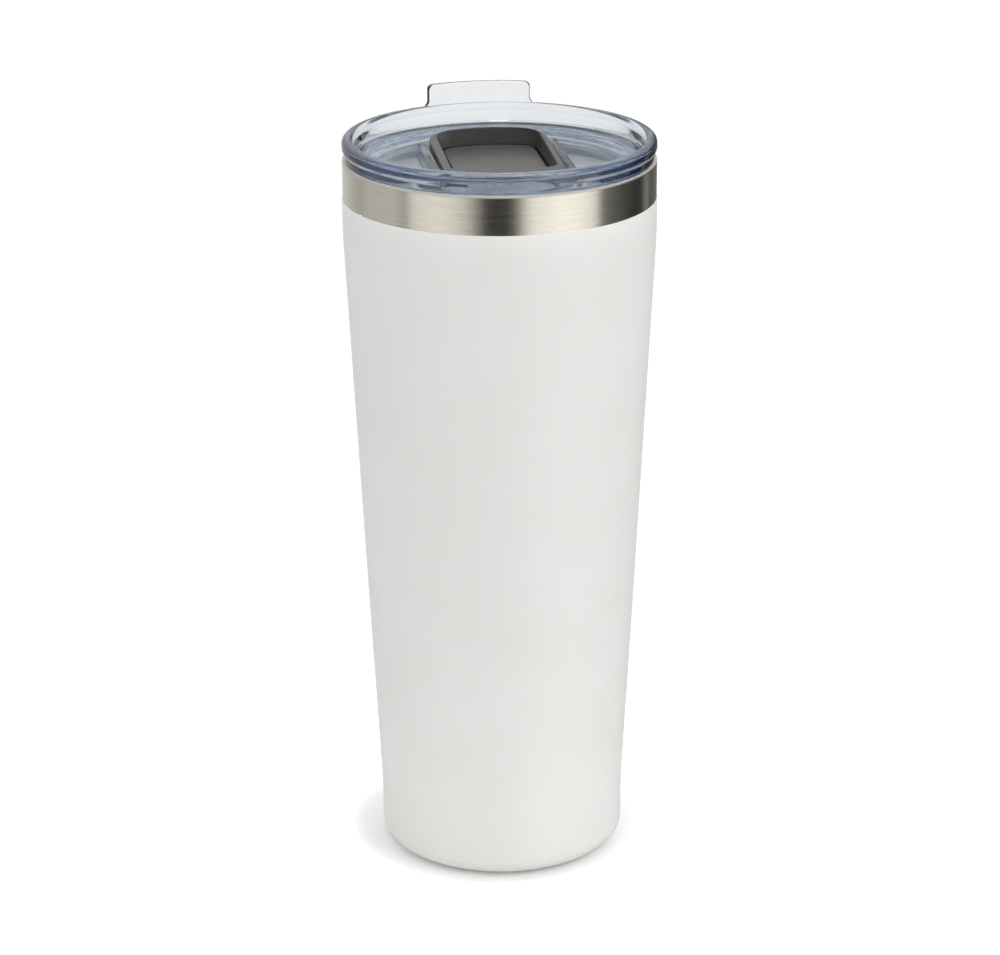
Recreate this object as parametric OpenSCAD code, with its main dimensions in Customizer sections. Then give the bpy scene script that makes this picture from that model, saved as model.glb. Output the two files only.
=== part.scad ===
// Vacuum insulated tumbler with a clear press-in lid and a sliding closure.
// Millimetres. +Z is up, the origin is the centre of the foot's underside.
// The lifting tab of the lid is at +Y, and the drinking side is at -Y.

/* [Cup] */
// Height of the steel rim above the table
rim_z = 206; // [200:1:212]
// Outer radius of the bare steel band
rim_r = 44; // [43.5:0.1:45]
// Height of the bare steel band
band_h = 10.8; // [8:0.1:14]
// Height at which the side stops tapering and turns upright
taper_top_z = 185; // [180:1:187]
// Height at which the taper starts above the upright foot of the side
taper_low_z = 14; // [12:1:18]
// Radius over the coating at the foot of the side
base_r = 35.4; // [34:0.1:37]
// Rounding where the side turns under the base
base_round = 5.2; // [3:0.1:5.4]
// Thickness of every steel wall
wall_t = 0.5; // [0.4:0.05:0.6]
// Thickness of the powder coating
coat_t = 0.15; // [0.1:0.01:0.2]
// Width of the vacuum between the two walls
vacuum_gap = 3.4; // [3:0.1:4]
// Depth of the straight neck that the lid plugs into
neck_h = 18; // [16:0.5:20]

/* [Base] */
// Height of the coated underside above the table
coat_z = 0.4; // [0.2:0.1:0.6]
// Radius of the silicone foot
foot_r = 28.5; // [26:0.1:28.5]
// Thickness of the silicone foot
foot_t = 1.6; // [1.2:0.1:1.6]
// Radius of the vacuum port
port_r = 1.2; // [1:0.1:1.5]
// Height of the upper side of the liner's floor
floor_z = 10.5; // [10.2:0.1:11]

/* [Lid] */
// Height of the bead lip above the steel rim
lip_rise = 6.15; // [5.8:0.05:6.5]
// Rounding radius of the bead lip
lip_round = 1.85; // [1.6:0.05:1.9]
// Height of the lifting tab above the steel rim
tab_rise = 12.3; // [10.5:0.1:13]
// Thickness of the lifting tab
tab_t = 1.8; // [1.4:0.1:2]
// Half the angle that the tab spans
tab_half = 20.3; // [18:0.1:24]
// Half the angle that the drinking panel spans
spout_half = 19.9; // [16:0.1:24]
// Depth of the plug below the steel rim
plug_depth = 12; // [11.5:0.1:13]
// Drop from the steel rim to the deck
deck_drop = 3.8; // [3.6:0.1:4]
// Thickness of the deck
deck_t = 2; // [1.8:0.1:2.1]

/* [Closure] */
// Half width of the slider
slider_half = 17; // [16.5:0.1:17.6]
// Way that the slider travels from open to closed
travel = 13; // [12:0.1:13]
// Height of the slider's back edge above the steel rim
slider_rise = 0.9; // [0.5:0.1:1.2]
// Slope of the slider's top towards the drinking side, in degrees
slider_slope = 2; // [1:0.1:2.5]
// Half the length of the drinking slot
slot_half = 8; // [6:0.1:9]
// Half the width of the drinking slot
slot_r = 4; // [3:0.1:4]

/* [Hidden] */
$fn = 128;

// Gap that stands for the bond between the coating and the steel
bond = 0.02;
// Radius over the coating at the top of the taper
coat_r = rim_r + coat_t;
slope = (coat_r - base_r) / (taper_top_z - taper_low_z);
// The liner's lip lies on the top edge of the outer shell
lip_z = rim_z - wall_t;
neck_z = rim_z - neck_h;
neck_out = rim_r - wall_t - 0.2;
neck_in = neck_out - wall_t;
shoulder_z = neck_z - 10;
// The liner tube and its floor meet at a weld
weld_z = floor_z + 7.5;
floor_round = 7;
// Edge of the hole in the underside, and the plate that fills it
ring_r = foot_r + 1;
plate_r = ring_r - 0.1;
plate_z = foot_t + 0.6;
dimple_r = 7;
dimple_h = 2;
getter_x = 15;
getter_r = 4.2;
getter_t = 1.6;
clip_t = 0.3;

// Lid radii, from the outside inwards
bead_r = rim_r + 0.05 - lip_round;
bead_z = rim_z + lip_rise - lip_round;
flange_r = rim_r - 0.65;
plug_r = neck_in - 0.7;
groove_r = plug_r - 1.4;
groove_top = rim_z - 4.9;
groove_low = rim_z - 9.1;
skirt_r = groove_r - 1.1;
ledge_r = rim_r - 7.6;
deck_r = rim_r - 10;
seat_z = rim_z + 0.05;
ledge_z = rim_z - 0.5;
deck_z = rim_z - deck_drop;
plug_z = rim_z - plug_depth;
tab_round = 1.7;
tab_fillet = 1.5;
spout_t = 0.5;

// Channel and slider
side_gap = 0.5;
channel_half = slider_half + side_gap;
channel_r = deck_r - 0.2;
channel_z = deck_z - 1.8;
channel_t = 1.8;
rail_t = 2.6;
rail_z = rim_z - 1;
rail_end_r = deck_r - 1.8;
tongue = 1.9;
tongue_t = 0.8;
groove_deep = 1.8;
groove_h = 1.3;
slider_r = channel_r - 0.5;
slider_z = channel_z + 0.3;
round_back = 12;
round_front = 4.5;
well_z = slider_z + 1.4;
rim_side = 2.1;
rim_back = 0.9;
well_round_back = 7;
well_round_front = 3.5;
well_front_r = 50;
well_front_y = -11.5;
// Groove round the raised floor of the finger well
moat_deep = 0.4;
moat_side = 0.7;
moat_back = 1.3;
seal_t = 0.6;
seal_half = 14.6;
seal_end_y = -6;
slot_y = 7.5 - channel_r;
vent_x = 12.5;
vent_y = -24.5;
vent_r = 1;

// Points of an arc about [cx, cy], from angle a0 to a1 in n steps
function arc(cx, cy, r, a0, a1, n) =
    [for (i = [0:n]) let (a = a0 + (a1 - a0) * i / n) [cx + r * cos(a), cy + r * sin(a)]];

function reversed(pts) = [for (i = [len(pts) - 1:-1:0]) pts[i]];

// Side of the cup from its underside to top_z, drawn inset inside the coated surface
function side_line(inset, low_r, top_z) = concat(
    [[low_r, coat_z + inset]],
    arc(base_r - base_round, coat_z + base_round, base_round - inset, -90, 0, 10),
    [[base_r - inset, taper_low_z], [coat_r - inset, taper_top_z], [coat_r - inset, top_z]]);

// Outer radius of the liner, which runs parallel to the tapered side
function liner_r(z) =
    base_r - coat_t - wall_t - vacuum_gap + slope * (z - taper_low_z);

// One end of a pad's outline, between the sides x = w and x = -w: an arc of radius r about
// [0, cy] that meets the sides in corners of radius rc. A sign of -1 turns it half a turn.
function pad_end(w, r, cy, rc, sign) =
    let (fy = sqrt(pow(r - rc, 2) - pow(w - rc, 2)))
    let (a = atan2(fy, w - rc))
    [for (p = concat(
        arc(w - rc, cy + fy, rc, 0, a, 6),
        arc(0, cy, r, a, 180 - a, 16),
        arc(rc - w, cy + fy, rc, 180 - a, 180, 6))) [sign * p[0], sign * p[1]]];

// Pad with a back arc about the origin and a front arc about [0, front_y]. rounds holds the
// radii of its back and its front corners.
module pad(w, back_r, front_r, front_y, rounds) {
    polygon(concat(
        pad_end(w, back_r, 0, rounds[0], 1),
        pad_end(w, front_r, -front_y, rounds[1], -1)));
}

module ring_between(line_out, line_in) {
    rotate_extrude() polygon(concat(line_out, reversed(line_in)));
}

// ---- cup ----

module outer_shell() {
    color("silver")
        ring_between(side_line(coat_t, ring_r, lip_z), side_line(coat_t + wall_t, ring_r, lip_z));
}

module powder_coat() {
    color("white")
        ring_between(side_line(0, ring_r, rim_z - band_h),
            side_line(coat_t - bond, ring_r, rim_z - band_h));
}

module inner_liner() {
    color("silver") rotate_extrude() polygon([
        [liner_r(weld_z) - wall_t, weld_z],
        [liner_r(weld_z), weld_z],
        [liner_r(shoulder_z), shoulder_z],
        [neck_out, neck_z],
        [neck_out, lip_z],
        [rim_r, lip_z],
        [rim_r, rim_z - 0.2],
        [rim_r - 0.2, rim_z],
        [neck_in, rim_z],
        [neck_in, neck_z],
        [liner_r(shoulder_z) - wall_t, shoulder_z]]);
}

module liner_bottom() {
    r = liner_r(weld_z);
    top = floor_z - wall_t + floor_round;
    color("silver") rotate_extrude() polygon(concat(
        [[0, floor_z - wall_t]],
        arc(r - floor_round, top, floor_round, -90, 0, 8),
        [[r, weld_z], [r - wall_t, weld_z]],
        arc(r - floor_round, top, floor_round - wall_t, 0, -90, 8),
        [[0, floor_z]]));
}

module copper_foil() {
    low = weld_z + 4;
    high = shoulder_z - 2;
    color("peru") rotate_extrude() polygon([
        [liner_r(low) + 0.15, low], [liner_r(low) + 0.25, low],
        [liner_r(high) + 0.25, high], [liner_r(high) + 0.15, high]]);
}

module base_plate() {
    color("silver") rotate_extrude() polygon([
        [port_r, plate_z + dimple_h],
        [dimple_r, plate_z + dimple_h],
        [dimple_r + dimple_h, plate_z],
        [plate_r - wall_t, plate_z],
        [plate_r - wall_t, coat_z + 0.3],
        [plate_r, coat_z + 0.3],
        [plate_r, plate_z + wall_t],
        [dimple_r + dimple_h, plate_z + wall_t],
        [dimple_r, plate_z + dimple_h + wall_t],
        [port_r, plate_z + dimple_h + wall_t]]);
}

module vacuum_seal() {
    z = plate_z + dimple_h;
    color("darkslategray") rotate_extrude() polygon([
        [0, z - 1], [1.8, z - 0.8], [2.8, z - bond],
        [port_r - bond, z - bond], [port_r - bond, z + wall_t], [0, z + wall_t]]);
}

module getter() {
    color("dimgray") translate([getter_x, 0, floor_z - wall_t - clip_t - getter_t - 0.1])
        cylinder(h = getter_t, r = getter_r);
}

module getter_clip() {
    top = floor_z - wall_t;
    color("gray") translate([getter_x, 0, top - clip_t - getter_t - 0.4]) difference() {
        cylinder(h = getter_t + clip_t + 0.4, r = getter_r + clip_t + 0.1);
        translate([0, 0, -1]) cylinder(h = getter_t + 1.4, r = getter_r + 0.1);
    }
}

module base_cover() {
    color("silver") translate([0, 0, foot_t]) cylinder(h = 0.5, r = plate_r - wall_t - 0.1);
}

module foot_pad() {
    color("whitesmoke") difference() {
        rotate_extrude() polygon([
            [0, 0], [foot_r - 0.6, 0], [foot_r - 0.2, 0.3],
            [foot_r - 0.2, foot_t], [0, foot_t]]);
        for (r = [14, 18, 22]) translate([0, 0, -1]) difference() {
            cylinder(h = 1.4, r = r + 0.6);
            translate([0, 0, -1]) cylinder(h = 4, r = r - 0.6);
        }
    }
}

// ---- lid ----

// Lip, flange, plug, ledge and deck as one section
module lid_section() {
    polygon(concat(
        [[0, deck_z], [deck_r, deck_z], [ledge_r, ledge_z - 0.1], [ledge_r + 2.4, ledge_z],
         [ledge_r + 2.9, ledge_z + 1.1]],
        arc(bead_r, bead_z, lip_round, 180, 0, 16),
        [[bead_r + lip_round - 0.1, rim_z + 3],
         [flange_r + 0.05, rim_z + 2.6],
         [flange_r, seat_z],
         [plug_r, seat_z],
         [plug_r, groove_top],
         [groove_r, groove_top],
         [groove_r, groove_low],
         [plug_r, groove_low],
         [plug_r, plug_z + 1.2],
         [plug_r - 0.7, plug_z],
         [skirt_r, plug_z],
         [skirt_r, ledge_z - deck_t],
         [ledge_r + 0.8, ledge_z - deck_t],
         [deck_r + 0.8, deck_z - deck_t],
         [0, deck_z - deck_t]]));
}

// Front view of the tab: upright sides, rounded top corners, and fillets onto the lip
module tab_outline() {
    side = (bead_r + 0.8) * sin(tab_half);
    crown = rim_z + tab_rise - tab_round;
    lip_top = rim_z + lip_rise;
    polygon(concat(
        [[side + tab_fillet + 0.3, bead_z]],
        arc(side + tab_fillet, lip_top + tab_fillet - 0.2, tab_fillet, 270, 180, 6),
        arc(side - tab_round, crown, tab_round, 0, 90, 6),
        arc(tab_round - side, crown, tab_round, 90, 180, 6),
        arc(-side - tab_fillet, lip_top + tab_fillet - 0.2, tab_fillet, 0, -90, 6),
        [[-side - tab_fillet - 0.3, bead_z]]));
}

module lifting_tab() {
    intersection() {
        rotate([0, 0, 90 - tab_half - 5]) rotate_extrude(angle = 2 * tab_half + 10) polygon(concat(
            [[bead_r - 0.1, bead_z]],
            [[bead_r - 0.1 + tab_t, bead_z]],
            arc(bead_r - 0.1 + tab_t / 2, rim_z + tab_rise - tab_t / 2, tab_t / 2, 0, 180, 8)));
        rotate([90, 0, 0]) translate([0, 0, -2 * rim_r])
            linear_extrude(height = 2 * rim_r) tab_outline();
    }
}

module drinking_panel() {
    rotate([0, 0, -90 - spout_half]) rotate_extrude(angle = 2 * spout_half) polygon([
        [flange_r - 0.3, rim_z + 0.7],
        [flange_r + spout_t, rim_z + 0.7],
        [flange_r + spout_t, bead_z],
        [flange_r - 0.3, bead_z]]);
}

// Straight-sided slab of the deck, w to each side, cut to a circle of radius r
module slab(w, r, z0, z1) {
    translate([0, 0, z0]) intersection() {
        cylinder(h = z1 - z0, r = r);
        translate([-w, -rim_r, 0]) cube([2 * w, 2 * rim_r, z1 - z0]);
    }
}

module drinking_slot() {
    translate([0, slot_y, channel_z - channel_t - 1]) linear_extrude(height = channel_t + 2) {
        for (side = [-1, 1]) translate([side * (slot_half - slot_r), 0]) circle(r = slot_r);
        square([2 * (slot_half - slot_r), 2 * slot_r], center = true);
    }
}

module lid_body() {
    color("lightsteelblue", 0.5) difference() {
        union() {
            rotate_extrude() lid_section();
            lifting_tab();
            drinking_panel();
            slab(channel_half + rail_t, deck_r + 1, channel_z - channel_t, deck_z - 0.5);
            slab(channel_half + rail_t, rail_end_r, deck_z - 1, rail_z);
        }
        slab(channel_half, channel_r, channel_z, rail_z + 1);
        slab(channel_half + groove_deep, channel_r, channel_z, channel_z + groove_h);
        drinking_slot();
        for (side = [-1, 1]) translate([side * vent_x, vent_y, channel_z - channel_t - 1])
            cylinder(h = channel_t + 2, r = vent_r);
    }
}

module lid_gasket() {
    ring_r = plug_r - 0.2;
    fin_r = neck_in - 0.15;
    mid = (groove_top + groove_low) / 2;
    color("gainsboro") rotate_extrude() union() {
        translate([groove_r + 0.05, groove_low + 0.1])
            square([ring_r - groove_r - 0.05, groove_top - groove_low - 0.2]);
        for (step = [-1, 0, 1]) polygon([
            [ring_r - 0.2, mid + step * 1.3 - 0.45],
            [fin_r, mid + step * 1.3 + 0.05],
            [fin_r, mid + step * 1.3 + 0.25],
            [ring_r - 0.2, mid + step * 1.3 + 0.45]]);
    }
}

// ---- closure ----

// Space above the slider's sloping top
module above_slider() {
    translate([0, slider_r, rim_z + slider_rise]) rotate([slider_slope, 0, 0])
        translate([-rim_r, -2 * rim_r, 0]) cube([2 * rim_r, 2 * rim_r + 5, 20]);
}

// Underside pad, grown all round by a gap, that covers the slot and the vents when closed
module seal_outline(gap) {
    intersection() {
        pad(seal_half + gap, slider_r, slider_r - 1.2 + gap, travel, [3, 3]);
        translate([-rim_r, seal_end_y + gap - rim_r]) square([2 * rim_r, rim_r]);
    }
}

// Finger well, drawn in at its sides and front by side and at its back by back
module well_outline(side, back) {
    pad(slider_half - rim_side - side, slider_r - rim_back - back, well_front_r - side,
        well_front_y + well_front_r, [well_round_back - side, well_round_front - side]);
}

module slider() {
    height = rim_z + slider_rise + 1 - slider_z;
    color("dimgray") difference() {
        translate([0, 0, slider_z]) union() {
            linear_extrude(height = height)
                pad(slider_half, slider_r, slider_r, travel, [round_back, round_front]);
            linear_extrude(height = tongue_t)
                pad(slider_half + tongue, slider_r, slider_r, travel, [round_back, round_front]);
        }
        above_slider();
        translate([0, 0, well_z]) linear_extrude(height = height) well_outline(0, 0);
        translate([0, 0, well_z - moat_deep]) linear_extrude(height = 1) difference() {
            well_outline(0, 0);
            well_outline(moat_side, moat_back);
        }
        translate([0, 0, slider_z - 1]) linear_extrude(height = 1 + seal_t) seal_outline(0.1);
    }
}

module slider_seal() {
    color("gainsboro") translate([0, 0, slider_z - 0.2])
        linear_extrude(height = seal_t + 0.15) seal_outline(0);
}

outer_shell();
powder_coat();
inner_liner();
liner_bottom();
copper_foil();
base_plate();
vacuum_seal();
getter();
getter_clip();
base_cover();
foot_pad();
lid_body();
lid_gasket();
slider();
slider_seal();
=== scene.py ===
"""Looks of the insulated tumbler: white powder coat, brushed steel band, clear lid, dark slider.

Metres, in the CAD frame: +Z up, +Y the lifting tab's side, -Y the drinking side.
"""
import math

import bmesh
import bpy
from mathutils import Matrix, Vector


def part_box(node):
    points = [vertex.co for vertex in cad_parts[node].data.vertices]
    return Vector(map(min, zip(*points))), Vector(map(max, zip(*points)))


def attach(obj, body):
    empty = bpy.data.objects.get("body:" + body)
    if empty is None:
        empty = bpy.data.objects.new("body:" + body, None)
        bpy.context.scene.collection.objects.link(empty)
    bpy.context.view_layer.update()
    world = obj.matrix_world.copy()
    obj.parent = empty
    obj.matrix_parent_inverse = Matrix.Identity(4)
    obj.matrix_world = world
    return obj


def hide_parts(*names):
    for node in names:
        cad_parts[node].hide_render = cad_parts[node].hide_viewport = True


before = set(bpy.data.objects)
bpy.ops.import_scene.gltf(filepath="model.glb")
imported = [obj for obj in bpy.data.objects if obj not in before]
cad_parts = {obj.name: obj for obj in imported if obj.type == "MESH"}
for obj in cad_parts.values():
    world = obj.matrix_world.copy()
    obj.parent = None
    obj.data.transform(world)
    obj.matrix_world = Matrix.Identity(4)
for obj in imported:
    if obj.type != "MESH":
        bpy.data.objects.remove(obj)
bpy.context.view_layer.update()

MM = 0.001
LATHE_STEPS = 288
SHARP_ANGLE = 32
WELD = 2e-7

# Driving sizes, from the frame
rim_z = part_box("inner_liner")[1].z
rim_r = round(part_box("inner_liner")[1].y, 4)
coat_r = rim_r + 0.15 * MM
coat_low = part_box("powder_coat")[0].z
coat_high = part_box("powder_coat")[1].z
tab_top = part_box("lid_body")[1].z
plug_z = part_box("lid_body")[0].z
slider_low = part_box("slider")[0].z

# Side of the cup
BASE_R = 35.4 * MM
BASE_ROUND = 5.2 * MM
TAPER_LOW = 14 * MM
TAPER_HIGH = 185 * MM
COAT_T = 0.15 * MM
WALL_T = 0.5 * MM
VACUUM_GAP = 3.4 * MM
BOND = 0.02 * MM
RING_R = 29.5 * MM

# Lid
FLANGE_R = rim_r - 0.6 * MM
LIP_ROUND = 1.85 * MM
BEAD_R = rim_r + 0.05 * MM - LIP_ROUND
BEAD_Z = rim_z + 4.3 * MM
NECK_IN = rim_r - 1.2 * MM
PLUG_R = NECK_IN - 0.7 * MM
GROOVE_R = PLUG_R - 1.4 * MM
GROOVE_TOP = rim_z - 4.9 * MM
GROOVE_LOW = rim_z - 9.1 * MM
SKIRT_R = GROOVE_R - 1.1 * MM
LEDGE_R = rim_r - 7.6 * MM
LEDGE_Z = rim_z - 0.5 * MM
DECK_R = rim_r - 10 * MM
DECK_Z = rim_z - 3.8 * MM
DECK_T = 2 * MM
SEAT_Z = rim_z + 0.05 * MM
CHANNEL_R = DECK_R - 0.2 * MM
CHANNEL_Z = DECK_Z - 1.8 * MM
CHANNEL_T = 1.8 * MM
CHANNEL_HALF = 17.5 * MM
KEEPER_DEEP = 1.8 * MM
KEEPER_HIGH = 1.3 * MM
RAIL_T = 2.6 * MM
RAIL_Z = rim_z - 1 * MM
RAIL_HALF = 25.4 * MM
NOTCHES = ((-1, 3), (1, 26))
NOTCH_START = 23.5 * MM
NOTCH_PITCH = 1.7 * MM
NOTCH_HALF = 0.42 * MM
TAB_HALF = 15.2 * MM
TAB_T = 1.8 * MM
PANEL_HALF = 15 * MM
PANEL_T = 1.2 * MM
DRINK_HALF = 4 * MM
DRINK_R = 4 * MM
DRINK_IN = 7.5 * MM
VENT_X = 12.5 * MM
VENT_Y = -24.5 * MM
VENT_R = 1 * MM

# Slider
SLIDER_HALF = 17 * MM
SLIDER_R = CHANNEL_R - 0.5 * MM
TRAVEL = 13 * MM
TONGUE = 1.9 * MM
SLIDER_TOP = rim_z + 0.9 * MM
SLIDER_SLOPE = math.tan(math.radians(2))
SLIDER_EDGE = 0.4 * MM
WELL_EDGE = 0.25 * MM
WELL_DRAFT = 1.0 * MM
WELL_IN = 2.1 * MM
WELL_BACK = 0.9 * MM
WELL_FRONT_R = 50 * MM
WELL_FRONT = 11.5 * MM
WELL_FLOOR = slider_low + 1.4 * MM
MOAT_DEEP = 0.6 * MM
MOAT_W = 0.7 * MM
# Heights of the groove round the well's raised floor, where black is painted on as shade
GROOVE_SHADE_LOW = slider_low + 0.75 * MM
GROOVE_SHADE_HIGH = slider_low + 1.45 * MM
RECESS_HALF = 14.7 * MM
RECESS_DEEP = 0.6 * MM
RECESS_BACK_Y = -0.0059

# Foot
FOOT_GROOVES = (14 * MM, 18 * MM, 22 * MM)
FOOT_GROOVE_HALF = 0.6 * MM
FOOT_GROOVE_DEEP = 0.4 * MM


# ---- mesh helpers ----

def placed(name, data):
    """A new object in the scene that holds the data."""
    obj = bpy.data.objects.new(name, data)
    bpy.context.scene.collection.objects.link(obj)
    return obj


def arc(cx, cy, r, start, end, steps):
    """Points of a circular arc, angles in degrees."""
    angles = [math.radians(start + (end - start) * i / steps) for i in range(steps + 1)]
    return [(cx + r * math.cos(a), cy + r * math.sin(a)) for a in angles]


def filleted(corners, steps=5):
    """A closed outline from corners (x, y, radius), with each corner rounded to its radius."""
    out = []
    count = len(corners)
    for i, (x, y, radius) in enumerate(corners):
        p = Vector((x, y))
        if radius <= 0:
            out.append((x, y))
            continue
        back = (Vector(corners[i - 1][:2]) - p)
        ahead = (Vector(corners[(i + 1) % count][:2]) - p)
        back_len, ahead_len = back.length, ahead.length
        back.normalize()
        ahead.normalize()
        half = back.angle(ahead) / 2
        reach = min(radius / math.tan(half), 0.49 * back_len, 0.49 * ahead_len)
        real = reach * math.tan(half)
        centre = p + (back + ahead).normalized() * (real / math.sin(half))
        a, b = p + back * reach - centre, p + ahead * reach - centre
        turn = a.angle_signed(b)
        for k in range(steps + 1):
            v = a.copy()
            v.rotate(Matrix.Rotation(-turn * k / steps, 2))
            out.append(tuple(centre + v))
    return out


def joined(name, objects):
    """One object with the meshes of several separate ones."""
    bm = bmesh.new()
    for obj in objects:
        bm.from_mesh(obj.data)
        bpy.data.objects.remove(obj)
    mesh = bpy.data.meshes.new(name)
    bm.to_mesh(mesh)
    bm.free()
    return placed(name, mesh)


def finish_mesh(name, mesh, sharp=SHARP_ANGLE):
    """Smooth shading that keeps edges sharper than the given angle, and consistent normals."""
    bm = bmesh.new()
    bm.from_mesh(mesh)
    bmesh.ops.remove_doubles(bm, verts=bm.verts, dist=WELD)
    bmesh.ops.recalc_face_normals(bm, faces=bm.faces)
    bm.to_mesh(mesh)
    bm.free()
    mesh.shade_smooth()
    mesh.set_sharp_from_angle(angle=math.radians(sharp))
    return placed(name, mesh)


def lathe(name, outline):
    """A solid of revolution about Z from a closed outline of (radius, z)."""
    verts, faces, ring = [], [], []
    for r, z in outline:
        if r < 1e-7:
            ring.append([len(verts)] * LATHE_STEPS)
            verts.append((0, 0, z))
            continue
        ring.append(list(range(len(verts), len(verts) + LATHE_STEPS)))
        for i in range(LATHE_STEPS):
            a = 2 * math.pi * i / LATHE_STEPS
            verts.append((r * math.cos(a), r * math.sin(a), z))
    for k in range(len(outline)):
        a, b = ring[k], ring[(k + 1) % len(outline)]
        if a[0] == a[1] and b[0] == b[1]:
            continue
        for i in range(LATHE_STEPS):
            j = (i + 1) % LATHE_STEPS
            corners = list(dict.fromkeys((a[i], a[j], b[j], b[i])))
            if len(corners) > 2:
                faces.append(corners)
    mesh = bpy.data.meshes.new(name)
    mesh.from_pydata(verts, [], faces)
    return finish_mesh(name, mesh)


def loft(name, rings):
    """A closed solid through rings of equal length, each a list of (x, y, z); its ends are capped."""
    verts = [p for ring in rings for p in ring]
    n = len(rings[0])
    faces = []
    for k in range(len(rings) - 1):
        for i in range(n):
            j = (i + 1) % n
            faces.append((k * n + i, k * n + j, (k + 1) * n + j, (k + 1) * n + i))
    faces.append(list(range(n))[::-1])
    faces.append(list(range((len(rings) - 1) * n, len(rings) * n)))
    mesh = bpy.data.meshes.new(name)
    mesh.from_pydata(verts, [], faces)
    return finish_mesh(name, mesh)


def combine(target, cutter, operation):
    """Applies an exact boolean to target and removes the cutter."""
    mod = target.modifiers.new("boolean", "BOOLEAN")
    mod.object = cutter
    mod.operation = operation
    mod.solver = "EXACT"
    graph = bpy.context.evaluated_depsgraph_get()
    mesh = bpy.data.meshes.new_from_object(target.evaluated_get(graph))
    target.modifiers.clear()
    old = target.data
    target.data = mesh
    bpy.data.meshes.remove(old)
    bpy.data.objects.remove(cutter)
    mesh.shade_smooth()
    mesh.set_sharp_from_angle(angle=math.radians(SHARP_ANGLE))


def pad_end(w, r, cy, corner, sign):
    """One end of a pad's outline: an arc about (0, cy) between the sides, with rounded corners.
    A sign of -1 turns it half round."""
    fy = math.sqrt((r - corner) ** 2 - (w - corner) ** 2)
    a = math.degrees(math.atan2(fy, w - corner))
    points = (arc(w - corner, cy + fy, corner, 0, a, 8)
              + arc(0, cy, r, a, 180 - a, 24)[1:-1]
              + arc(corner - w, cy + fy, corner, 180 - a, 180, 8))
    return [(sign * x, sign * y) for x, y in points]


def pad(w, back_r, front_r, front_y, rounds, inset=0.0):
    """Outline with straight sides, a back arc about the origin and a front arc about (0, front_y).
    rounds holds the radii of its back and its front corners."""
    back, front = (max(r - inset, 0.3 * MM) for r in rounds)
    return (pad_end(w - inset, back_r - inset, 0, back, 1)
            + pad_end(w - inset, front_r - inset, -front_y, front, -1))


def at_z(outline, z):
    """The outline at a height, which may be a number or a function of (x, y)."""
    return [(x, y, z(x, y) if callable(z) else z) for x, y in outline]


def straight(name, outline, low_z, high_z):
    """A prism with the outline."""
    return loft(name, [at_z(outline, low_z), at_z(outline, high_z)])


def side_line(inset, low_r, top_z):
    """Side of the cup from its underside to top_z, drawn inset inside the coated surface."""
    bend = 4 * MM
    slope = (coat_r - BASE_R) / (TAPER_HIGH - TAPER_LOW)
    upper = [(coat_r - inset - slope * (bend - s) ** 2 / (4 * bend), TAPER_HIGH + s)
             for s in (-bend, -bend / 2, 0, bend / 2, bend)]
    return ([(low_r, coat_low + inset)]
            + arc(BASE_R - BASE_ROUND, coat_low + BASE_ROUND, BASE_ROUND - inset, -90, 0, 14)
            + [(BASE_R - inset, TAPER_LOW)] + upper + [(coat_r - inset, top_z)])


def liner_r(z):
    """Outer radius of the liner, which runs parallel to the tapered side."""
    slope = (coat_r - BASE_R) / (TAPER_HIGH - TAPER_LOW)
    return BASE_R - COAT_T - WALL_T - VACUUM_GAP + slope * (z - TAPER_LOW)


# ---- materials ----

def add_node(tree, kind, inputs=None, **settings):
    """A new node with its settings. Each input is a socket to link from, or a value."""
    node = tree.nodes.new(kind)
    for key, value in settings.items():
        setattr(node, key, value)
    for key, value in (inputs or {}).items():
        if isinstance(value, bpy.types.NodeSocket):
            tree.links.new(value, node.inputs[key])
        else:
            node.inputs[key].default_value = value
    return node


def set_ramp(node, stops):
    """Gives a colour ramp its stops, each a place and a colour."""
    elements = node.color_ramp.elements
    while len(elements) < len(stops):
        elements.new(0.5)
    for element, (place, colour) in zip(elements, stops):
        element.position = place
        element.color = (*colour, 1)


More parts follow.
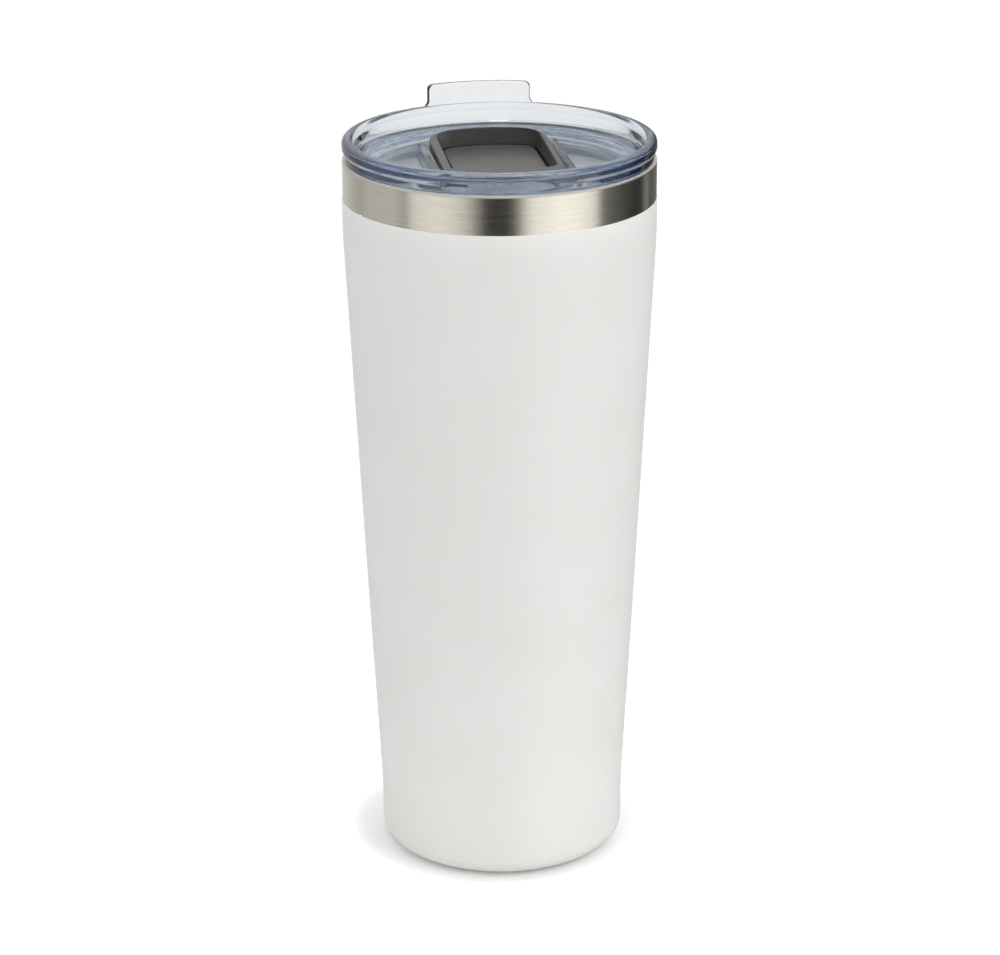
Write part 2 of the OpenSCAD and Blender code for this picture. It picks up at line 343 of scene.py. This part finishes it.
class Nodes:
    """Short helper for building a node material."""

    def __init__(self, name):
        self.mat = bpy.data.materials.new(name)
        self.mat.use_nodes = True
        self.tree = self.mat.node_tree
        self.bsdf = self.tree.nodes["Principled BSDF"]
        self.out = self.tree.nodes["Material Output"]

    def add(self, kind, inputs=None, **settings):
        return add_node(self.tree, kind, inputs, **settings)

    def set(self, **values):
        """Sets shader inputs to constants. Spaces in their names are written as underscores."""
        for key, value in values.items():
            self.bsdf.inputs[key.replace("_", " ")].default_value = value

    def link(self, socket, name):
        self.tree.links.new(socket, self.bsdf.inputs[name])

    def object_coords(self):
        return self.add("ShaderNodeTexCoord").outputs["Object"]

    def noise(self, vector, scale, detail, roughness=0.5):
        return self.add("ShaderNodeTexNoise", {"Vector": vector, "Scale": scale, "Detail": detail,
                                               "Roughness": roughness}).outputs["Fac"]

    def math(self, operation, a, b=0.0):
        return self.add("ShaderNodeMath", {0: a, 1: b}, operation=operation).outputs[0]

    def ramp(self, factor, stops):
        node = self.add("ShaderNodeValToRGB", {"Fac": factor})
        set_ramp(node, stops)
        return node.outputs["Color"]

    def mix(self, factor, colour_a, colour_b):
        return self.add("ShaderNodeMix", {"Factor": factor, "A": colour_a, "B": colour_b},
                        data_type="RGBA").outputs["Result"]

    def map_range(self, value, low, high):
        return self.add("ShaderNodeMapRange",
                        {"Value": value, "To Min": low, "To Max": high}).outputs[0]

    def bump(self, height, distance, strength, normal=None):
        inputs = {"Height": height, "Distance": distance, "Strength": strength}
        if normal is not None:
            inputs["Normal"] = normal
        return self.add("ShaderNodeBump", inputs).outputs["Normal"]

    def around(self, turns, rows):
        """Coordinates that run round the Z axis, stretched: x follows the angle and y the height."""
        xyz = self.add("ShaderNodeSeparateXYZ", {"Vector": self.object_coords()})
        angle = self.math("ARCTAN2", xyz.outputs["Y"], xyz.outputs["X"])
        radius = self.math("SQRT", self.math(
            "ADD", self.math("MULTIPLY", xyz.outputs["X"], xyz.outputs["X"]),
            self.math("MULTIPLY", xyz.outputs["Y"], xyz.outputs["Y"])))
        return self.add("ShaderNodeCombineXYZ", {
            "X": self.math("MULTIPLY", angle, turns),
            "Y": self.math("MULTIPLY", xyz.outputs["Z"], rows),
            "Z": self.math("MULTIPLY", radius, rows)}).outputs["Vector"]


def powder_coat_material():
    """White satin coating with a fine and a broad peel."""
    n = Nodes("powder_coat")
    p = n.object_coords()
    tone = n.noise(p, 35, 3)
    n.link(n.ramp(tone, [(0.3, (0.665, 0.672, 0.655)), (0.7, (0.688, 0.694, 0.68))]), "Base Color")
    n.link(n.map_range(n.noise(p, 600, 2), 0.40, 0.52), "Roughness")
    peel = n.bump(n.noise(p, 1400, 2), 0.00004, 0.45)
    n.link(n.bump(n.noise(p, 260, 2), 0.00006, 0.25, peel), "Normal")
    n.set(IOR=1.45)
    return n.mat


def brushed_material():
    """Steel brushed round the Z axis, with fine and broad lines."""
    n = Nodes("brushed_steel")
    colour, roughness, rows = (0.74, 0.705, 0.62), 0.20, 4200
    fine = n.noise(n.around(6, rows), 1, 3, 0.7)
    broad = n.noise(n.around(2.5, rows / 5), 1, 2)
    mixed = n.math("ADD", n.math("MULTIPLY", fine, 0.7), n.math("MULTIPLY", broad, 0.3))
    dark = tuple(c * 0.84 for c in colour)
    n.link(n.ramp(mixed, [(0.3, dark), (0.7, colour)]), "Base Color")
    n.link(n.map_range(mixed, roughness - 0.06, roughness + 0.08), "Roughness")
    n.link(n.bump(fine, 0.00003, 0.5), "Normal")
    n.link(n.add("ShaderNodeTangent", direction_type="RADIAL", axis="Z").outputs["Tangent"], "Tangent")
    n.set(Metallic=1.0, Anisotropic=0.9, Anisotropic_Rotation=0.25)
    return n.mat


def liner_material():
    """Blasted satin steel, bare and brighter on the lip."""
    n = Nodes("liner_steel")
    p = n.object_coords()
    height = n.add("ShaderNodeSeparateXYZ", {"Vector": p}).outputs["Z"]
    lip = n.add("ShaderNodeMapRange", {"Value": height, "From Min": rim_z - 1.6 * MM,
                                       "From Max": rim_z - 0.9 * MM}).outputs[0]
    grain = n.noise(n.around(40, 1500), 1, 3, 0.6)
    satin = n.ramp(grain, [(0.3, (0.92, 0.92, 0.915)), (0.7, (0.96, 0.96, 0.955))])
    n.link(n.mix(lip, satin, (0.62, 0.60, 0.55, 1)), "Base Color")
    n.link(n.map_range(lip, 0.15, 1.0), "Metallic")
    n.link(n.map_range(grain, 0.42, 0.56), "Roughness")
    n.link(n.bump(grain, 0.00003, 0.4), "Normal")
    return n.mat


def clear_plastic_material():
    """Clear plastic that is tinted by its thickness and lets light through to what it covers."""
    n = Nodes("clear_plastic")
    p = n.object_coords()
    n.link(n.ramp(n.noise(p, 60, 2), [(0.3, (0.97, 0.96, 0.945)), (0.7, (0.98, 0.97, 0.955))]),
           "Base Color")
    n.link(n.map_range(n.noise(p, 900, 3), 0.0, 0.035), "Roughness")
    n.link(n.bump(n.noise(p, 140, 2), 0.00002, 0.15), "Normal")
    n.set(IOR=1.52, Transmission_Weight=1.0)
    absorb = n.add("ShaderNodeVolumeAbsorption",
                   {"Color": (0.26, 0.38, 0.56, 1), "Density": 92.0})
    n.tree.links.new(absorb.outputs["Volume"], n.out.inputs["Volume"])
    shadow = n.add("ShaderNodeLightPath").outputs["Is Shadow Ray"]
    clear = n.add("ShaderNodeBsdfTransparent", {"Color": (0.86, 0.90, 0.94, 1)})
    mixed = n.add("ShaderNodeMixShader", {"Fac": shadow, 1: n.bsdf.outputs[0], 2: clear.outputs[0]})
    n.tree.links.new(mixed.outputs[0], n.out.inputs["Surface"])
    return n.mat


def dark_plastic_material():
    """Dark plastic, with painted shade in the groove round the raised floor of the well: black there,
    and rough.
    """
    n = Nodes("dark_plastic")
    p = n.object_coords()
    height = n.add("ShaderNodeSeparateXYZ", {"Vector": p}).outputs["Z"]
    # Mask of that groove, where painted shade makes the plastic near black
    groove = n.math("MULTIPLY", n.math("GREATER_THAN", height, GROOVE_SHADE_LOW),
                    n.math("LESS_THAN", height, GROOVE_SHADE_HIGH))
    tone = n.ramp(n.noise(p, 120, 3), [(0.3, (0.036, 0.036, 0.036)), (0.7, (0.042, 0.041, 0.040))])
    # Painted shade: the groove's colour is near black
    n.link(n.mix(groove, tone, (0.003, 0.003, 0.003, 1)), "Base Color")
    satin = n.map_range(n.noise(p, 700, 3), 0.30, 0.38)
    n.link(n.math("MAXIMUM", satin, n.math("MULTIPLY", groove, 0.95)), "Roughness")
    n.link(n.bump(n.noise(p, 1800, 2), 0.00001, 0.12), "Normal")
    n.set(IOR=1.42, Specular_IOR_Level=0.25)
    return n.mat


def silicone_material(name, colour, clear):
    """Silicone with a fine grain. clear is its share of light let through."""
    n = Nodes(name)
    p = n.object_coords()
    light = tuple(min(1, c * 1.05) for c in colour)
    n.link(n.ramp(n.noise(p, 300, 3), [(0.3, colour), (0.7, light)]), "Base Color")
    n.link(n.map_range(n.noise(p, 900, 3), 0.45, 0.62), "Roughness")
    n.link(n.bump(n.noise(p, 3000, 2), 0.00002, 0.4), "Normal")
    n.set(IOR=1.41, Transmission_Weight=clear)
    return n.mat


def rolled_metal_material(name, colour, roughness, metallic=1.0):
    """Plain rolled, foiled or pressed metal with a fine mottle, or glass where metallic is 0."""
    n = Nodes(name)
    p = n.object_coords()
    dark = tuple(c * 0.85 for c in colour)
    n.link(n.ramp(n.noise(p, 500, 4), [(0.3, dark), (0.7, colour)]), "Base Color")
    n.link(n.map_range(n.noise(p, 1500, 3), roughness - 0.08, roughness + 0.1), "Roughness")
    n.link(n.bump(n.noise(p, 1200, 3), 0.00003, 0.35), "Normal")
    n.set(Metallic=metallic)
    return n.mat


def dress(obj, material):
    obj.data.materials.clear()
    obj.data.materials.append(material)


def piece(obj, body, slot, material, *nodes):
    """Dresses a new piece, makes it ride on its body and stand for its CAD nodes."""
    dress(obj, material)
    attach(obj, body)
    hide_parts(*nodes)
    return obj


# ---- cup ----

def make_outer_shell(material):
    lip_z = rim_z - WALL_T
    outline = side_line(COAT_T, RING_R, lip_z) + side_line(COAT_T + WALL_T, RING_R, lip_z)[::-1]
    return piece(lathe("outer_shell_wall", outline), "cup", "brushed_steel", material, "outer_shell")


def make_powder_coat(material):
    edge = 0.08 * MM
    outer = side_line(0, RING_R, coat_high - edge)
    outer += arc(coat_r - edge, coat_high - edge, edge, 22, 90, 3)
    inner = side_line(COAT_T - BOND, RING_R, coat_high)
    return piece(lathe("coat_skin", outer + inner[::-1]), "cup", "white_coat", material,
                 "powder_coat")


def make_inner_liner(material):
    weld_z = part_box("inner_liner")[0].z
    lip_z = rim_z - WALL_T
    neck_out = NECK_IN + WALL_T
    neck_z = rim_z - 18 * MM
    shoulder_z = neck_z - 10 * MM
    outline = filleted([
        (liner_r(weld_z) - WALL_T, weld_z, 0),
        (liner_r(weld_z), weld_z, 0),
        (liner_r(shoulder_z), shoulder_z, 8 * MM),
        (neck_out, neck_z, 8 * MM),
        (neck_out, lip_z, 0),
        (rim_r, lip_z, 0),
        (rim_r, rim_z, 0.22 * MM),
        (NECK_IN, rim_z, 0.35 * MM),
        (NECK_IN, neck_z, 8 * MM),
        (liner_r(shoulder_z) - WALL_T, shoulder_z, 8 * MM)])
    return piece(lathe("liner_wall", outline), "cup", "liner_steel", material, "inner_liner")


# ---- lid ----

def curved_panel(name, radius, thickness, half, low_z, top_z, corner, facing, edge, foot=0.0):
    """A panel bent round the Z axis, with rounded edges. half is its half width along the arc,
    facing is its middle's angle in degrees, and foot flares its sides where it joins the lid."""
    cols, rows = 72, 28

    def spread(count):
        return [-math.cos(math.pi * i / count) for i in range(count + 1)]

    def place(u, v, side):
        share = (v + 1) / 2
        s = u * half
        over = max(0.0, abs(s) - (half - corner))
        drop = corner - math.sqrt(max(0.0, corner ** 2 - over ** 2))
        z = low_z + (top_z - drop - low_z) * share
        if foot and z > BEAD_Z:
            near = min(1.0, max(0.0, 1 - (z - BEAD_Z - LIP_ROUND) / foot))
            s += math.copysign(foot * 0.6 * near ** 2.5, s) * abs(u) ** 12
        gap = min(half - abs(u * half), (1 - share) * (top_z - low_z))
        ease = min(1.0, max(0.0, gap) / edge)
        depth = (thickness / 2) * math.sqrt(max(0.0, 1 - (1 - ease) ** 2))
        r = radius + side * depth
        a = math.radians(facing) - s / radius
        return (r * math.cos(a), r * math.sin(a), z)

    verts, faces = [], []
    for side in (1, -1):
        base = len(verts)
        for v in spread(rows):
            verts += [place(u, v, side) for u in spread(cols)]
        for k in range(rows):
            for i in range(cols):
                q = base + k * (cols + 1) + i
                faces.append((q, q + 1, q + cols + 2, q + cols + 1)[::side])
    half_count = len(verts) // 2
    for i in range(cols):
        faces.append((i, half_count + i, half_count + i + 1, i + 1))
    mesh = bpy.data.meshes.new(name)
    mesh.from_pydata(verts, [], faces)
    return finish_mesh(name, mesh, 60)


def rounded_block(name, outline_at, low_z, high_z, edge):
    """A prism with rounded top edges. outline_at(inset) gives its outline."""
    steps = 4
    rings = [at_z(outline_at(0), low_z)]
    for k in range(steps + 1):
        a = math.radians(90 * k / steps)
        rings.append(at_z(outline_at(edge * (1 - math.cos(a))), high_z - edge + edge * math.sin(a)))
    return loft(name, rings)


def lip_shape():
    """Upper half of the bead lip for a radius of one, squarer on its outer side."""
    points, steps = [], 28
    for i in range(steps + 1):
        a = math.pi * (1 - i / steps)
        power = 1.0 if math.cos(a) < 0 else 0.78
        points.append((math.copysign(abs(math.cos(a)) ** power, math.cos(a)), math.sin(a) ** power))
    return points


def lid_outline():
    """Half section of the lid: basin and deck above, bead lip, flange, plug with gasket groove."""
    wall_r = BEAD_R - LIP_ROUND
    step = 0.15 * MM
    inner = filleted([
        (0, DECK_Z, 0),
        (DECK_R, DECK_Z, 0.8 * MM),
        (DECK_R + 0.9 * MM, DECK_Z + 1.2 * MM, 0.3 * MM),
        (DECK_R + 1.5 * MM, DECK_Z + 1.3 * MM, 0.3 * MM),
        (LEDGE_R, LEDGE_Z - 0.1 * MM, 0.4 * MM),
        (LEDGE_R + 1.1 * MM, LEDGE_Z - 0.05 * MM, 0.2 * MM),
        (LEDGE_R + 1.4 * MM, LEDGE_Z + 0.25 * MM, 0.2 * MM),
        (LEDGE_R + 2.5 * MM, LEDGE_Z + 0.25 * MM, 1.2 * MM),
        (wall_r, BEAD_Z - 0.35 * MM, 0)])
    inner += [(wall_r + step, BEAD_Z - 0.2 * MM)]
    lip = [(BEAD_R + (LIP_ROUND if x > 0 else LIP_ROUND - step) * x, BEAD_Z + LIP_ROUND * y)
           for x, y in lip_shape()]
    outer = filleted([
        (BEAD_R + LIP_ROUND, BEAD_Z, 0),
        (BEAD_R + LIP_ROUND, rim_z + 3.3 * MM, 0.9 * MM),
        (FLANGE_R + 0.05 * MM, rim_z + 2.3 * MM, 1.2 * MM),
        (FLANGE_R, SEAT_Z, 0.25 * MM),
        (PLUG_R, SEAT_Z, 0.3 * MM),
        (PLUG_R, GROOVE_TOP, 0.15 * MM),
        (GROOVE_R, GROOVE_TOP, 0.2 * MM),
        (GROOVE_R, GROOVE_LOW, 0.2 * MM),
        (PLUG_R, GROOVE_LOW, 0.15 * MM),
        (PLUG_R, plug_z + 1.2 * MM, 0.4 * MM),
        (PLUG_R - 0.7 * MM, plug_z, 0.3 * MM),
        (SKIRT_R, plug_z, 0.4 * MM),
        (SKIRT_R, LEDGE_Z - DECK_T, 0.6 * MM),
        (LEDGE_R + 0.8 * MM, LEDGE_Z - DECK_T, 0.8 * MM),
        (DECK_R + 0.8 * MM, DECK_Z - DECK_T, 0.8 * MM),
        (0, DECK_Z - DECK_T, 0)])[1:]
    return inner + lip + outer


def slab_outline(half, r):
    """A disc of radius r cut straight at x = +-half."""
    a = math.degrees(math.acos(half / r))
    return arc(0, 0, r, a, 180 - a, 40) + arc(0, 0, r, 180 + a, 360 - a, 40)


def rail_outline(side, inset=0.0):
    """Top view of one rail, with chamfered ends."""
    near, far = CHANNEL_HALF + 0.02 * MM + inset, CHANNEL_HALF + RAIL_T - inset
    end, cut = RAIL_HALF - inset, 1.2 * MM
    points = [(near, -end), (far - cut, -end), (far, -end + cut), (far, end - cut),
              (far - cut, end), (near, end)]
    return [(side * x, y) for x, y in points][::side]


def slot_outline():
    """The drinking slot: a stadium across the channel."""
    y = DRINK_IN - CHANNEL_R
    return (arc(DRINK_HALF, y, DRINK_R, -90, 90, 16)
            + arc(-DRINK_HALF, y, DRINK_R, 90, 270, 16))


def notch_cutters():
    """Blocks that cut two staggered rows of notches in the top of each rail."""
    cutters = []
    for side, count in NOTCHES:
        for k in range(count):
            for row, x in enumerate((CHANNEL_HALF - 0.1 * MM, CHANNEL_HALF + 1.35 * MM)):
                y = NOTCH_START - (k + row / 2) * NOTCH_PITCH
                far = x + (1.3 - 0.3 * row) * MM
                corners = ((x, y - NOTCH_HALF), (far, y - NOTCH_HALF),
                           (far, y + NOTCH_HALF), (x, y + NOTCH_HALF))
                outline = [(side * a, b) for a, b in corners][::side]
                cutters.append(straight("notch", outline, DECK_Z + 0.4 * MM, RAIL_Z + MM))
    return cutters


def make_lid(material):
    lid = lathe("lid_shell", lid_outline())
    low = CHANNEL_Z - CHANNEL_T
    combine(lid, straight("under", slab_outline(CHANNEL_HALF + RAIL_T, DECK_R + 1 * MM),
                          low, DECK_Z - 0.5 * MM), "UNION")
    for side in (-1, 1):
        rail = rounded_block("rail", lambda i, s=side: rail_outline(s, i),
                             DECK_Z - 0.9 * MM, RAIL_Z, 0.35 * MM)
        combine(lid, rail, "UNION")
    tab = curved_panel("tab", BEAD_R + 0.8 * MM, TAB_T, TAB_HALF, BEAD_Z - 0.4 * MM, tab_top,
                       1.7 * MM, 90, 0.3 * MM, foot=1.5 * MM)
    combine(lid, tab, "UNION")
    panel = curved_panel("panel", FLANGE_R + 0.05 * MM, PANEL_T, PANEL_HALF, rim_z + 0.4 * MM,
                         BEAD_Z + 0.2 * MM, 0.5 * MM, -90, 0.25 * MM)
    combine(lid, panel, "UNION")
    # One cutter makes the channel and the grooves that keep the slider's tongues
    channel = straight("pocket", slab_outline(CHANNEL_HALF, CHANNEL_R), CHANNEL_Z, RAIL_Z + 3 * MM)
    keepers = straight("groove", slab_outline(CHANNEL_HALF + KEEPER_DEEP, CHANNEL_R - 0.01 * MM),
                       CHANNEL_Z + 0.01 * MM, CHANNEL_Z + KEEPER_HIGH)
    combine(channel, keepers, "UNION")
    combine(lid, channel, "DIFFERENCE")
    combine(lid, joined("notches", notch_cutters()), "DIFFERENCE")
    combine(lid, straight("slot", slot_outline(), low - MM, CHANNEL_Z + MM), "DIFFERENCE")
    for side in (-1, 1):
        vent = straight("vent", arc(side * VENT_X, VENT_Y, VENT_R, 0, 345, 23), low - MM, CHANNEL_Z + MM)
        combine(lid, vent, "DIFFERENCE")
    return piece(lid, "lid", "clear_plastic", material, "lid_body")


def make_gasket(material):
    """The ring in the plug's groove, with three fins that touch the cup's neck."""
    low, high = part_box("lid_gasket")[0].z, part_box("lid_gasket")[1].z
    body_r = PLUG_R - 0.2 * MM
    fin_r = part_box("lid_gasket")[1].y
    mid = (low + high) / 2
    corners = [(GROOVE_R + 0.05 * MM, low, 0.2 * MM), (body_r, low, 0.2 * MM)]
    for step in (-1, 0, 1):
        z = mid + step * 1.3 * MM
        corners += [(body_r, z - 0.45 * MM, 0.1 * MM), (fin_r, z + 0.02 * MM, 0.1 * MM),
                    (fin_r, z + 0.28 * MM, 0.1 * MM), (body_r, z + 0.45 * MM, 0.1 * MM)]
    corners += [(body_r, high, 0.2 * MM), (GROOVE_R + 0.05 * MM, high, 0.2 * MM)]
    return piece(lathe("gasket_ring", filleted(corners, 3)), "lid", "clear_silicone", material,
                 "lid_gasket")


# ---- slider ----

def slider_pad(half, inset=0.0):
    """Outline of the slider in its rest place."""
    return pad(half, SLIDER_R, SLIDER_R, TRAVEL, (12 * MM, 4.5 * MM), inset)


def well_pad(inset=0.0, x=0.0, back=0.0):
    """Outline of the finger well, moved sideways by x, with its back drawn in further by back."""
    outline = pad(SLIDER_HALF - WELL_IN, SLIDER_R - WELL_BACK - back, WELL_FRONT_R,
                  WELL_FRONT_R - WELL_FRONT, (7 * MM, 3.5 * MM), inset)
    return [(px + x, py) for px, py in outline]


def slider_top(x, y):
    """Height of the slider's top, which falls towards the drinking side."""
    return SLIDER_TOP + (y - SLIDER_R) * SLIDER_SLOPE


def make_slider(material):
    wide = SLIDER_HALF + TONGUE
    rings = [at_z(slider_pad(wide, 0.2 * MM), slider_low),
             at_z(slider_pad(wide), slider_low + 0.2 * MM),
             at_z(slider_pad(wide), slider_low + 0.6 * MM),
             at_z(slider_pad(wide, 0.2 * MM), slider_low + 0.8 * MM),
             at_z(slider_pad(SLIDER_HALF), slider_low + 0.82 * MM)]
    turns = [math.radians(15 * k) for k in range(7)]
    for a in turns:
        rings.append(at_z(slider_pad(SLIDER_HALF, SLIDER_EDGE * (1 - math.cos(a))),
                          lambda x, y, a=a: slider_top(x, y) - SLIDER_EDGE * (1 - math.sin(a))))
    for a in turns[::-1]:
        rings.append(at_z(well_pad(-WELL_EDGE * math.sin(a), 0.4 * MM),
                          lambda x, y, a=a: slider_top(x, y) - WELL_EDGE * (1 - math.sin(a))))
    moat = WELL_FLOOR - MOAT_DEEP
    for inset, back, z in ((0, 0, moat), (MOAT_W, MOAT_W, moat),
                           (0.75 * MM, MOAT_W, WELL_FLOOR + 0.16 * MM),
                           (0.85 * MM, MOAT_W, WELL_FLOOR + 0.24 * MM),
                           (1.05 * MM, MOAT_W, WELL_FLOOR + 0.27 * MM)):
        rings.append(at_z(well_pad(WELL_DRAFT + inset, 0.6 * MM, back), z))
    body = loft("slider_body", rings)
    seal_outline = pad(RECESS_HALF, SLIDER_R, SLIDER_R - 1.1 * MM, TRAVEL, (3 * MM, 3 * MM))
    recess = straight("recess", seal_outline, slider_low - MM, slider_low + RECESS_DEEP)
    # Keeps only the part of the recess on the drinking side
    front = [(-0.05, -0.06), (0.05, -0.06), (0.05, RECESS_BACK_Y), (-0.05, RECESS_BACK_Y)]
    keep = straight("keep", front, slider_low - 2 * MM, slider_low + 2 * MM)
    combine(recess, keep, "INTERSECT")
    combine(body, recess, "DIFFERENCE")
    return piece(body, "slider", "dark_plastic", material, "slider")


# ---- base ----

def make_foot(material):
    """A disc with shallow ring grooves underneath."""
    low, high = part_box("foot_pad")[0].z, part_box("foot_pad")[1].z
    r = round(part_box("foot_pad")[1].y, 4)
    corners = [(0, low, 0)]
    half, deep = FOOT_GROOVE_HALF, FOOT_GROOVE_DEEP
    for groove in FOOT_GROOVES:
        corners += [(groove - half, low, 0.1 * MM), (groove - half, low + deep, 0.15 * MM),
                    (groove + half, low + deep, 0.15 * MM), (groove + half, low, 0.1 * MM)]
    corners += [(r, low, 0.4 * MM), (r, high, 0.1 * MM), (0, high, 0)]
    return piece(lathe("foot_disc", filleted(corners, 4)), "cup", "foot_silicone", material,
                 "foot_pad")


# ---- studio ----

# Camera fitted to the photograph: angles in degrees, lengths in metres, lens in millimetres
CAMERA_AZIMUTH = -8.4
CAMERA_DISTANCE = 0.8889
CAMERA_HEIGHT = 0.4262
CAMERA_PITCH = 19.519
CAMERA_ROLL = 0.227
CAMERA_SIDE = -0.0002
CAMERA_LENS = 117.46
CAMERA_SENSOR = 36

FLOOR_HALF = 4.0
FLOOR_Z = -0.05 * MM

# The world's soft light at its left and right, what it gains towards the top, the heights between
# which its strips fade out, and the ray depth below which they show
SKY_LEFT, SKY_RIGHT, SKY_RISE = 0.80, 1.16, 0.16
STRIPS_GONE, STRIPS_FULL = 0.42, 0.12
STRIPS_DEPTH = 2.5


def make_camera():
    data = bpy.data.cameras.new("camera")
    data.lens = CAMERA_LENS
    data.sensor_width = CAMERA_SENSOR
    data.clip_start, data.clip_end = 0.01, 50
    camera = placed("camera", data)
    turn = Matrix.Rotation(math.radians(CAMERA_AZIMUTH), 4, "Z")
    place = Matrix.Translation((CAMERA_SIDE, -CAMERA_DISTANCE, CAMERA_HEIGHT))
    tilt = Matrix.Rotation(math.radians(90 - CAMERA_PITCH), 4, "X")
    roll = Matrix.Rotation(math.radians(-CAMERA_ROLL), 4, "Z")
    camera.matrix_world = turn @ place @ tilt @ roll
    bpy.context.scene.camera = camera


# What the steel mirrors: azimuth in degrees, clockwise from the camera seen from above, and light
STRIPS = [(-180, 0.45), (-170, 0.66), (-158, 0.64), (-144, 0.60), (-124, 0.46), (-112, 0.58),
          (-82, 0.60), (-73, 0.42), (-65, 0.88), (-48, 1.00), (-36, 0.92), (-26, 0.74),
          (-17, 0.34), (-10, 0.03), (5, 0.02), (12, 0.14), (20, 0.86), (26, 1.12), (48, 1.36),
          (62, 1.24), (74, 1.02), (80, 0.18), (100, 0.08), (118, 0.02), (129, 0.04), (135, 0.36),
          (141, 0.08), (156, 0.14), (172, 0.22), (180, 0.45)]


def make_world():
    """White for the camera, strips for first reflections near the horizon, and soft light otherwise."""
    world = bpy.data.worlds.new("studio")
    bpy.context.scene.world = world
    world.use_nodes = True
    world.cycles.sampling_method = "NONE"
    tree = world.node_tree
    tree.nodes.clear()

    def add(kind, inputs=None, **settings):
        return add_node(tree, kind, inputs, **settings)

    direction = add("ShaderNodeTexCoord").outputs["Generated"]
    xyz = add("ShaderNodeSeparateXYZ", {"Vector": direction}).outputs
    back = add("ShaderNodeMath", {0: xyz["Y"], 1: -1.0}, operation="MULTIPLY").outputs[0]
    azimuth = add("ShaderNodeMath", {0: xyz["X"], 1: back}, operation="ARCTAN2").outputs[0]
    turns = add("ShaderNodeMath", {0: azimuth, 1: 1 / (2 * math.pi),
                                   2: 0.5 - CAMERA_AZIMUTH / 360}, operation="MULTIPLY_ADD").outputs[0]
    wrapped = add("ShaderNodeMath", {0: turns}, operation="FRACT").outputs[0]
    ramp = add("ShaderNodeValToRGB", {"Fac": wrapped})
    set_ramp(ramp, [(degrees / 360 + 0.5, (light, light, light * 0.98)) for degrees, light in STRIPS])
    strips = add("ShaderNodeBackground", {"Color": ramp.outputs["Color"], "Strength": 1.0})

    side = add("ShaderNodeMapRange", {"Value": xyz["X"], "From Min": -1.0, "From Max": 1.0,
                                      "To Min": SKY_LEFT, "To Max": SKY_RIGHT}).outputs[0]
    high = add("ShaderNodeMath", {0: xyz["Z"], 1: SKY_RISE, 2: side},
               operation="MULTIPLY_ADD").outputs[0]
    soft = add("ShaderNodeBackground", {"Color": (1, 1, 0.99, 1), "Strength": high})
    white = add("ShaderNodeBackground", {"Color": (1, 1, 1, 1), "Strength": 1.0})
    path = add("ShaderNodeLightPath").outputs
    low = add("ShaderNodeMapRange",
              {"Value": xyz["Z"], "From Min": STRIPS_GONE, "From Max": STRIPS_FULL},
              interpolation_type="SMOOTHSTEP").outputs[0]
    first = add("ShaderNodeMath", {0: path["Ray Depth"], 1: STRIPS_DEPTH},
                operation="LESS_THAN").outputs[0]
    glossy = add("ShaderNodeMath", {0: path["Is Glossy Ray"], 1: first},
                 operation="MULTIPLY").outputs[0]
    mirrored = add("ShaderNodeMath", {0: glossy, 1: low}, operation="MULTIPLY").outputs[0]
    lit = add("ShaderNodeMixShader", {"Fac": mirrored, 1: soft.outputs[0],
                                      2: strips.outputs[0]})
    seen = add("ShaderNodeMixShader", {"Fac": path["Is Camera Ray"], 1: lit.outputs[0],
                                       2: white.outputs[0]})
    add("ShaderNodeOutputWorld", {"Surface": seen.outputs[0]})


def make_floor():
    mesh = bpy.data.meshes.new("floor")
    corners = ((-1, -1), (1, -1), (1, 1), (-1, 1))
    mesh.from_pydata([(FLOOR_HALF * x, FLOOR_HALF * y, FLOOR_Z) for x, y in corners], [],
                     [(0, 1, 2, 3)])
    floor = placed("floor", mesh)
    n = Nodes("floor")
    n.link(n.ramp(n.noise(n.object_coords(), 3, 2), [(0.3, (0.93, 0.93, 0.93)),
                                                     (0.7, (0.95, 0.95, 0.95))]), "Base Color")
    n.set(Roughness=0.9)
    floor.data.materials.append(n.mat)
    floor.visible_glossy = False


def make_light(name, place, size, power, aim=(0, 0, 0.11), spread=180):
    data = bpy.data.lights.new(name, "AREA")
    data.size = size
    data.spread = math.radians(spread)
    data.energy = power
    light = placed(name, data)
    light.location = place
    light.rotation_euler = (Vector(aim) - Vector(place)).to_track_quat("-Z", "Y").to_euler()
    light.visible_camera = False
    light.visible_glossy = False


def set_render_looks():
    scene = bpy.context.scene
    scene.view_settings.view_transform = "Standard"
    scene.cycles.max_bounces = 24
    scene.cycles.transmission_bounces = 20
    scene.cycles.glossy_bounces = 10
    scene.cycles.diffuse_bounces = 12
    scene.cycles.sample_clamp_indirect = 8


# ---- build ----

make_camera()
make_world()
make_floor()
make_light("key", (0.9, -0.9, 1.1), 0.9, 2.5)
make_light("snoot", (0.0, -0.03, 1.2), 0.12, 0.08, aim=(0, 0, 0.2), spread=12)
set_render_looks()

brushed = brushed_material()
liner = liner_material()
plain = rolled_metal_material("plain_steel", (0.62, 0.61, 0.59), 0.35)
silicone = silicone_material("clear_silicone", (0.80, 0.82, 0.84), 0.35)

make_outer_shell(brushed)
make_powder_coat(powder_coat_material())
make_inner_liner(liner)
make_foot(silicone_material("foot_silicone", (0.78, 0.79, 0.78), 0.0))
make_lid(clear_plastic_material())
make_gasket(silicone)
make_slider(dark_plastic_material())

for name, node_material in (
        ("liner_bottom", liner), ("base_plate", plain), ("base_cover", plain), ("getter_clip", plain),
        ("getter", rolled_metal_material("getter_metal", (0.30, 0.30, 0.31), 0.6, 0.6)),
        ("vacuum_seal", rolled_metal_material("seal_glass", (0.12, 0.13, 0.14), 0.2, 0.0)),
        ("copper_foil", rolled_metal_material("copper", (0.72, 0.42, 0.28), 0.25)),
        ("slider_seal", silicone)):
    dress(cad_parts[name], node_material)
